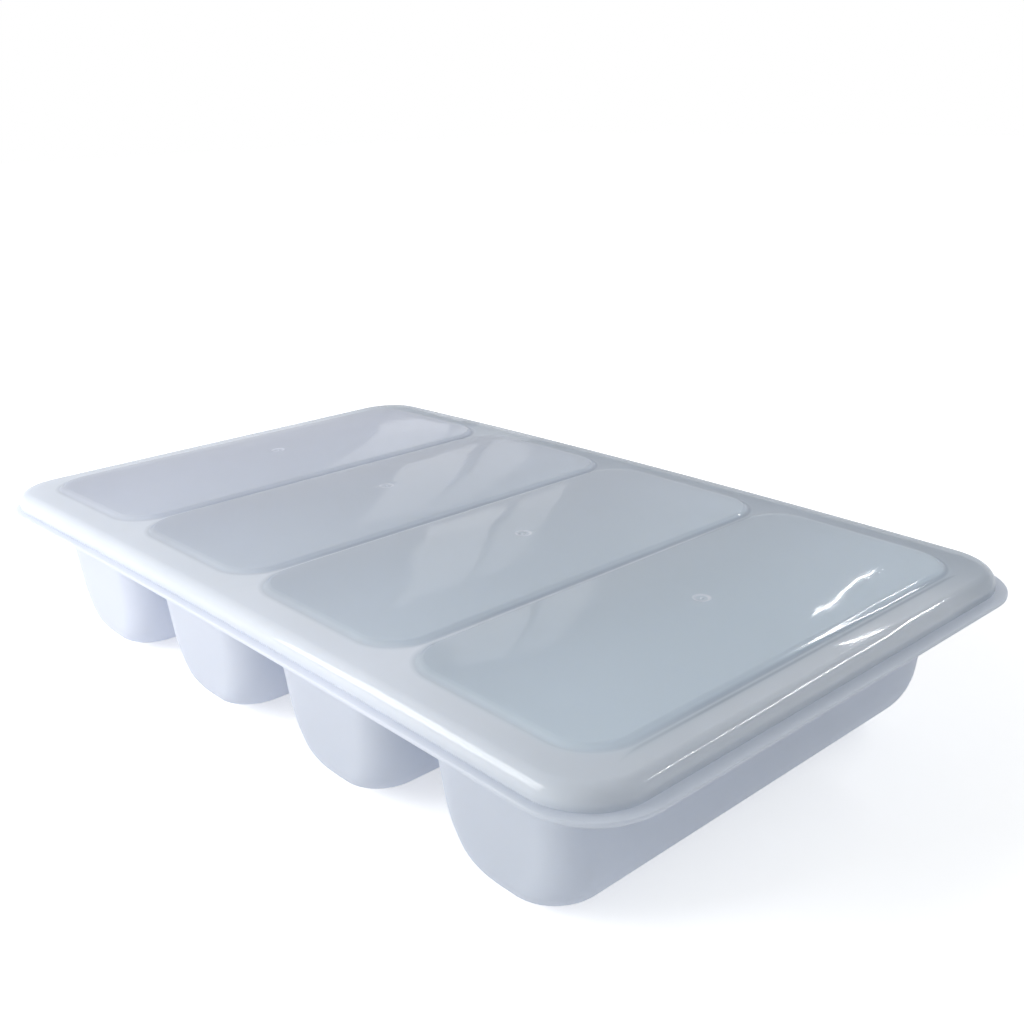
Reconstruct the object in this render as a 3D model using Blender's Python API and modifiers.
"""Lidded cutlery bin: a moulded tray of four troughs, and the lid that drops over its rim.

Metres, +Z up. The origin is at the middle of the footprint, at the height of the trough bottoms.
The bin is long along X, and its troughs run along Y. Two mouldings make the whole object.
"""
import math

import bmesh
import bpy

# Tray: plan of the lip, which is the widest part of the bin
TRAY_LENGTH = 0.530
TRAY_WIDTH = 0.325
LIP_CORNER_RADIUS = 0.036
TRAY_END_BORDER = 0.0320    # lip edge to the nearest trough, at the short sides
TRAY_SIDE_BORDER = 0.02265  # lip edge to the ends of the troughs, at the long sides

# Tray: heights above the trough bottoms, at the short sides of the bin
TRAY_WALL = 0.0022
FLANGE_TOP = 0.0923
RIM_CROWN = 0.0032          # how much the long sides rise at mid-length
TROUGH_BOW = 0.0022         # how much the trough bottoms would rise at mid-length

# Tray: the step that the lid drops over, and the skirt below the lip
STEP_HEIGHT = 0.0078        # lip to flange
STEP_TOP_RADIUS = 0.0060
STEP_FOOT_RADIUS = 0.0010
SKIRT_DEPTH = 0.0035
SKIRT_INSET = 0.0045
SKIRT_WALL = 0.0022
SKIRT_ROOT = 0.0011         # how deep the skirt is rooted in the lip

# Troughs: outer sizes
TROUGH_COUNT = 4
TROUGH_GAP = 0.0204         # between neighbours, where they leave the flange
TROUGH_FLAT = 0.0103        # width of the level strip along the bottom
TROUGH_CORNER_RADIUS = 0.0215
TROUGH_END_ROUND = 0.0174
TROUGH_MOUTH_RADIUS = 0.0020
SIDE_DRAFT = math.radians(5.3)
END_DRAFT = math.radians(4.9)

# Lid
LID_WALL = 0.0020
LID_INSET = 0.0045          # lip edge to lid edge, all round
LID_PLAY = 0.0022           # lid wall to the step of the tray, all round
LID_SEAT_GAP = 0.0003
LID_EDGE_RADIUS = 0.0070
LID_SHIFT_X = -0.0015       # where the loose lid has come to rest on the tray
LID_SHIFT_Y = -0.0007

# Panels of the lid, one over each trough
PANEL_BORDER = 0.0212       # lid edge to the panels, at the long sides
PANEL_GROOVE = 0.0022       # between the feet of neighbouring panels
PANEL_CORNER_RADIUS = 0.0240
PANEL_STEP = 0.0020
PANEL_STEP_RUN = 0.0045
PANEL_DOME = 0.0035

# Gate mark of the moulding at the middle of each panel: a dimple, with the gate's stub left in it
GATE_DIAMETER = 0.0074
GATE_DEPTH = 0.0004
GATE_STUB_DIAMETER = 0.0017
GATE_STUB_HEIGHT = 0.0003

# How finely round stretches are divided
CORNER_STEPS = 5
SIDE_ROUND_STEPS = 6
EDGE_STEPS = 4
MOUTH_STEPS = 2
PANEL_STEP_ROWS = 3
RIM_RUN_STEPS = (8, 4)           # divisions of the straight runs along X and along Y
TROUGH_RUN_STEPS = (2, 1)
PANEL_RUN_STEPS = (1, 4)
GATE_SIDES = 24
QUARTER_TURN = math.pi / 2
SMOOTH_ANGLE = math.radians(35)
WELD_REACH = 0.00002        # joins the near-coincident points where two mouldings fuse

# Shares
TIGHT_CORNER_SHARE = 0.98   # corner radius where a section is narrower than its corners
TIGHT_ROUND_SHARE = 0.95    # most that a round takes of the wall that it is on
DOME_RING_SHARES = (0.16, 0.42, 0.70, 0.93)

# Colours of the milky polypropylene, as linear red, green, blue
TRAY_COLOUR = (0.70, 0.74, 0.80)
LID_COLOUR = (0.62, 0.67, 0.73)
TRAY_ROUGHNESS = 0.32
LID_ROUGHNESS = 0.22

# Sizes worked out from those above
FLANGE_UNDERSIDE = FLANGE_TOP - TRAY_WALL
LIP_TOP = FLANGE_TOP - STEP_HEIGHT
LIP_UNDERSIDE = LIP_TOP - TRAY_WALL
STEP_ROUND = min(STEP_TOP_RADIUS, TIGHT_ROUND_SHARE * (STEP_HEIGHT - STEP_FOOT_RADIUS))
STEP_INSET = LID_INSET + LID_WALL + LID_PLAY
LID_TOP = FLANGE_TOP + LID_SEAT_GAP + LID_WALL
LID_LOWER_EDGE = LIP_TOP + LID_SEAT_GAP
LID_EDGE_ROUND = min(LID_EDGE_RADIUS, TIGHT_ROUND_SHARE * (LID_TOP - LID_LOWER_EDGE))
TROUGH_WIDTH = (TRAY_LENGTH - 2 * TRAY_END_BORDER - TROUGH_GAP * (TROUGH_COUNT - 1)) / TROUGH_COUNT
TROUGH_LENGTH = TRAY_WIDTH - 2 * TRAY_SIDE_BORDER
TROUGH_PITCH = TROUGH_WIDTH + TROUGH_GAP
TROUGH_WALL_HEIGHT = FLANGE_UNDERSIDE - TROUGH_MOUTH_RADIUS
TROUGH_SIDE_ROUND = min(TROUGH_WIDTH / 2 - FLANGE_UNDERSIDE * math.tan(SIDE_DRAFT) - TROUGH_FLAT / 2,
                        TROUGH_WALL_HEIGHT)
PANEL_WIDTH = TROUGH_PITCH - PANEL_GROOVE
PANEL_LENGTH = TRAY_WIDTH - 2 * (LID_INSET + PANEL_BORDER)


def clear_scene():
    """Remove whatever the scene holds."""
    for obj in list(bpy.data.objects):
        bpy.data.objects.remove(obj, do_unlink=True)


def new_collection(name):
    """Make a collection in the scene."""
    group = bpy.data.collections.new(name)
    bpy.context.scene.collection.children.link(group)
    return group


def milky_plastic(name, colour, roughness):
    """Make the plain material of one moulding."""
    material = bpy.data.materials.new(name)
    material.use_nodes = True
    shader = material.node_tree.nodes["Principled BSDF"]
    shader.inputs["Base Color"].default_value = (*colour, 1.0)
    shader.inputs["Roughness"].default_value = roughness
    shader.inputs["Metallic"].default_value = 0.0
    material.diffuse_color = (*colour, 1.0)
    return material


def crown(x):
    """Rise of the rim at a distance from mid-length."""
    return RIM_CROWN * (1.0 - (2.0 * x / TRAY_LENGTH) ** 2)


def outline(half_x, half_y, radius, runs):
    """Points of a rounded rectangle round the origin, anticlockwise seen from above."""
    arcs = []
    for turn, (side_x, side_y) in enumerate(((1, 1), (-1, 1), (-1, -1), (1, -1))):
        centre_x = side_x * (half_x - radius)
        centre_y = side_y * (half_y - radius)
        angles = [QUARTER_TURN * (turn + step / CORNER_STEPS) for step in range(CORNER_STEPS + 1)]
        arcs.append([(centre_x + radius * math.cos(a), centre_y + radius * math.sin(a)) for a in angles])
    points = []
    for turn, arc in enumerate(arcs):
        points.extend(arc)
        start, end = arc[-1], arcs[(turn + 1) % len(arcs)][0]
        divisions = runs[turn % 2]
        for step in range(1, divisions):
            share = step / divisions
            points.append((start[0] + (end[0] - start[0]) * share, start[1] + (end[1] - start[1]) * share))
    return points


def add_ring(mesh, points, z, centre_x=0.0):
    """Add one level ring of vertices."""
    return [mesh.verts.new((centre_x + x, y, z)) for x, y in points]


def ring_edges(mesh, ring):
    """Edges round a ring, made where they don't exist yet."""
    edges = []
    for first, second in zip(ring, ring[1:] + ring[:1]):
        edges.append(mesh.edges.get((first, second)) or mesh.edges.new((first, second)))
    return edges


def loft(mesh, rings):
    """Skin a run of rings that have the same number of points."""
    for lower, upper in zip(rings, rings[1:]):
        for i, first in enumerate(lower):
            j = (i + 1) % len(lower)
            mesh.faces.new((first, lower[j], upper[j], upper[i]))


def fill_flat(mesh, rings):
    """Fill a level region that has one outer ring, and inner rings where it is open."""
    edges = [edge for ring in rings for edge in ring_edges(mesh, ring)]
    bmesh.ops.triangle_fill(mesh, use_beauty=True, edges=edges, normal=(0.0, 0.0, 1.0))


def face_down(mesh):
    """Turn an open sheet so that its lowest level face looks down."""
    bmesh.ops.recalc_face_normals(mesh, faces=mesh.faces)
    lowest = min(mesh.faces, key=lambda face: (face.calc_center_median().z, -abs(face.normal.z)))
    if lowest.normal.z > 0.0:
        bmesh.ops.reverse_faces(mesh, faces=mesh.faces)


def face_up(mesh):
    """Turn an open sheet so that its highest level face looks up."""
    bmesh.ops.recalc_face_normals(mesh, faces=mesh.faces)
    highest = max(mesh.faces, key=lambda face: (face.calc_center_median().z, abs(face.normal.z)))
    if highest.normal.z < 0.0:
        bmesh.ops.reverse_faces(mesh, faces=mesh.faces)


def finish_object(mesh, name, group, material=None):
    """Turn a bmesh into an object of a collection."""
    data = bpy.data.meshes.new(name)
    mesh.to_mesh(data)
    mesh.free()
    data.shade_smooth()
    data.set_sharp_from_angle(angle=SMOOTH_ANGLE)
    obj = bpy.data.objects.new(name, data)
    group.objects.link(obj)
    if material:
        data.materials.append(material)
    return obj


def add_wall(obj, thickness):
    """Give a sheet its wall, on the side that its faces look away from."""
    wall = obj.modifiers.new("wall", "SOLIDIFY")
    wall.thickness = thickness
    wall.offset = -1.0
    wall.use_even_offset = True


def combine(obj, detail, operation):
    """Fuse a moulded detail to the object that carries it, or cut it out of that object."""
    change = obj.modifiers.new(detail.name, "BOOLEAN")
    change.operation = operation
    change.solver = "EXACT"
    change.object = detail
    weld = obj.modifiers.new("weld_" + detail.name, "WELD")
    weld.merge_threshold = WELD_REACH


def trough_centres():
    """Places of the troughs, and of the panels over them, along the bin."""
    first = -TROUGH_PITCH * (TROUGH_COUNT - 1) / 2.0
    return [first + TROUGH_PITCH * i for i in range(TROUGH_COUNT)]


def round_inset(height, radius):
    """How far a quarter round draws a wall in, at a height above the bottom."""
    if height >= radius:
        return 0.0
    return radius - math.sqrt(radius ** 2 - (radius - height) ** 2)


def trough_section(z):
    """Half width, half length and corner radius of a trough at one height."""
    below_flange = FLANGE_UNDERSIDE - z
    half_x = TROUGH_WIDTH / 2 - below_flange * math.tan(SIDE_DRAFT) - round_inset(z, TROUGH_SIDE_ROUND)
    half_y = TROUGH_LENGTH / 2 - below_flange * math.tan(END_DRAFT) - round_inset(z, TROUGH_END_ROUND)
    radius = min(TROUGH_CORNER_RADIUS, TIGHT_CORNER_SHARE * min(half_x, half_y))
    return half_x, half_y, radius


def add_trough(mesh, centre_x):
    """Add the outer face of one trough, and return the ring where it leaves the flange."""
    round_angles = [QUARTER_TURN * i / SIDE_ROUND_STEPS for i in range(SIDE_ROUND_STEPS + 1)]
    heights = [TROUGH_SIDE_ROUND * (1.0 - math.cos(angle)) for angle in round_angles]
    heights.append(TROUGH_WALL_HEIGHT)
    rings = [add_ring(mesh, outline(*trough_section(z), TROUGH_RUN_STEPS), z, centre_x) for z in heights]
    half_x, half_y, radius = trough_section(heights[-1])
    for i in range(1, MOUTH_STEPS + 1):
        angle = QUARTER_TURN * i / MOUTH_STEPS
        flare = TROUGH_MOUTH_RADIUS * (1.0 - math.cos(angle))
        points = outline(half_x + flare, half_y + flare, radius + flare, TROUGH_RUN_STEPS)
        rings.append(add_ring(mesh, points, heights[-1] + TROUGH_MOUTH_RADIUS * math.sin(angle), centre_x))
    loft(mesh, rings)
    mesh.faces.new(rings[0])
    return rings[-1]


def rim_outline(inset):
    """Outline of the lip, drawn in by an inset."""
    return outline(TRAY_LENGTH / 2 - inset, TRAY_WIDTH / 2 - inset, LIP_CORNER_RADIUS - inset, RIM_RUN_STEPS)


def rim_rows():
    """Inset and height of each row of the rim's underside, from the lip in to the flange."""
    foot_radius = STEP_FOOT_RADIUS + TRAY_WALL
    foot_inset = STEP_INSET - STEP_FOOT_RADIUS
    top_radius = STEP_ROUND - TRAY_WALL
    top_inset = STEP_INSET + STEP_ROUND
    angles = [QUARTER_TURN * i / EDGE_STEPS for i in range(EDGE_STEPS + 1)]
    rows = [(0.0, LIP_UNDERSIDE)]
    for angle in angles:
        rows.append((foot_inset + foot_radius * math.sin(angle),
                     LIP_UNDERSIDE + foot_radius * (1.0 - math.cos(angle))))
    for angle in angles:
        rows.append((top_inset - top_radius * math.cos(angle),
                     FLANGE_UNDERSIDE - top_radius * (1.0 - math.sin(angle))))
    return rows


def raise_crown(mesh):
    """Bow a piece of the rim up along its length."""
    for vert in mesh.verts:
        vert.co.z += crown(vert.co.x)


def raise_tray(mesh):
    """Bow the tray up, with each trough bottom kept level in itself."""
    centres = trough_centres()
    for vert in mesh.verts:
        share = min(1.0, vert.co.z / LIP_UNDERSIDE)
        nearest = min(centres, key=lambda centre_x: abs(centre_x - vert.co.x))
        bottom_lift = TROUGH_BOW * (1.0 - (nearest / centres[-1]) ** 2)
        vert.co.z += crown(vert.co.x) * share + bottom_lift * (1.0 - share)


def make_skirt(group):
    """Make the short skirt under the lip."""
    mesh = bmesh.new()
    top = LIP_UNDERSIDE + SKIRT_ROOT
    bottom = LIP_UNDERSIDE - SKIRT_DEPTH
    outer = rim_outline(SKIRT_INSET)
    inner = rim_outline(SKIRT_INSET + SKIRT_WALL)
    rings = [add_ring(mesh, points, z) for points, z in
             ((outer, bottom), (outer, top), (inner, top), (inner, bottom))]
    loft(mesh, rings + rings[:1])
    raise_crown(mesh)
    bmesh.ops.recalc_face_normals(mesh, faces=mesh.faces)
    skirt = finish_object(mesh, "lip_skirt", group)
    skirt.hide_render = True
    skirt.display_type = "WIRE"
    return skirt


def make_tray(parts, helpers):
    """Make the tray as one sheet with a wall, and fuse the skirt to its lip."""
    mesh = bmesh.new()
    rim = [add_ring(mesh, rim_outline(inset), z) for inset, z in rim_rows()]
    loft(mesh, rim)
    mouths = [add_trough(mesh, centre_x) for centre_x in trough_centres()]
    fill_flat(mesh, [rim[-1]] + mouths)
    face_down(mesh)
    raise_tray(mesh)
    tray = finish_object(mesh, "tray", parts, milky_plastic("tray_plastic", TRAY_COLOUR, TRAY_ROUGHNESS))
    add_wall(tray, TRAY_WALL)
    combine(tray, make_skirt(helpers), "UNION")
    return tray


def panel_half_sizes():
    """Half width and half length of a panel at its foot."""
    return PANEL_WIDTH / 2, PANEL_LENGTH / 2


def panel_lift(inset, x, y):
    """Height of a panel above the border of the lid, at a place measured from its middle."""
    half_x, half_y = panel_half_sizes()
    step = PANEL_STEP * (1.0 - math.cos(math.pi * min(1.0, inset / PANEL_STEP_RUN))) / 2
    dome = PANEL_DOME * (1.0 - (x / half_x) ** 2) * (1.0 - (y / half_y) ** 2)
    return step + dome


def panel_insets():
    """Insets of the panel's rings, from its foot to the narrow one at its middle."""
    inner_half = panel_half_sizes()[0] - PANEL_STEP_RUN
    step_rows = [PANEL_STEP_RUN * i / PANEL_STEP_ROWS for i in range(PANEL_STEP_ROWS + 1)]
    return step_rows + [PANEL_STEP_RUN + inner_half * share for share in DOME_RING_SHARES]


def add_panel(mesh, centre_x):
    """Add one domed panel, and return the ring at its foot."""
    half_x, half_y = panel_half_sizes()
    rings = []
    for inset in panel_insets():
        narrow = half_x - inset
        radius = min(max(PANEL_CORNER_RADIUS - inset, PANEL_STEP_RUN), TIGHT_CORNER_SHARE * narrow)
        points = outline(narrow, half_y - inset, radius, PANEL_RUN_STEPS)
        ring = [mesh.verts.new((centre_x + x, y, panel_lift(inset, x, y))) for x, y in points]
        rings.append(ring)
    loft(mesh, rings)
    fill_flat(mesh, rings[-1:])
    return rings[0]


def lid_edge_rings(mesh):
    """Add the round outer edge of the lid, and return its rings from the lower edge up."""
    lower_z = LID_LOWER_EDGE - LID_TOP
    rings = [add_ring(mesh, rim_outline(LID_INSET), lower_z)]
    for i in range(EDGE_STEPS + 1):
        angle = QUARTER_TURN * i / EDGE_STEPS
        inset = LID_INSET + LID_EDGE_ROUND * (1.0 - math.cos(angle))
        rings.append(add_ring(mesh, rim_outline(inset), LID_EDGE_ROUND * (math.sin(angle) - 1.0)))
    loft(mesh, rings)
    return rings


def make_gate_cutters(group):
    """Make the cutters of the gate dimples, each open below where the gate's stub stays."""
    cutters = bmesh.new()
    for centre_x in trough_centres():
        surface = panel_lift(PANEL_STEP_RUN, 0.0, 0.0) + crown(centre_x)
        overrun = LID_WALL / 2
        disc = bmesh.ops.create_cone(cutters, cap_ends=True, segments=GATE_SIDES, radius1=GATE_DIAMETER / 2,
                                     radius2=GATE_DIAMETER / 2, depth=GATE_DEPTH + overrun)
        middle = surface + (overrun - GATE_DEPTH) / 2
        bmesh.ops.translate(cutters, verts=disc["verts"], vec=(centre_x, 0.0, middle))
        faces = {face for vert in disc["verts"] for face in vert.link_faces}
        floor = min(faces, key=lambda face: face.calc_center_median().z)
        bmesh.ops.inset_region(cutters, faces=[floor], thickness=(GATE_DIAMETER - GATE_STUB_DIAMETER) / 2)
        raised = bmesh.ops.extrude_face_region(cutters, geom=[floor])
        stub = [item for item in raised["geom"] if isinstance(item, bmesh.types.BMVert)]
        bmesh.ops.translate(cutters, verts=stub, vec=(0.0, 0.0, GATE_STUB_HEIGHT))
        bmesh.ops.delete(cutters, geom=[floor], context="FACES")
    bmesh.ops.recalc_face_normals(cutters, faces=cutters.faces)
    obj = finish_object(cutters, "gate_dimples", group)
    obj.hide_render = True
    obj.display_type = "WIRE"
    return obj


def make_lid(parts, helpers):
    """Make the lid, with its origin at the middle of its border's top."""
    mesh = bmesh.new()
    edge = lid_edge_rings(mesh)
    feet = [add_panel(mesh, centre_x) for centre_x in trough_centres()]
    fill_flat(mesh, [edge[-1]] + feet)
    face_up(mesh)
    raise_crown(mesh)
    lid = finish_object(mesh, "lid", parts, milky_plastic("lid_plastic", LID_COLOUR, LID_ROUGHNESS))
    add_wall(lid, LID_WALL)
    cutters = make_gate_cutters(helpers)
    combine(lid, cutters, "DIFFERENCE")
    place = (LID_SHIFT_X, LID_SHIFT_Y, LID_TOP)
    lid.location = place
    cutters.location = place
    return lid


def main():
    """Build the bin."""
    clear_scene()
    parts = new_collection("cutlery_bin")
    helpers = new_collection("moulding_details")
    make_tray(parts, helpers)
    make_lid(parts, helpers)
    bpy.context.view_layer.update()


main()
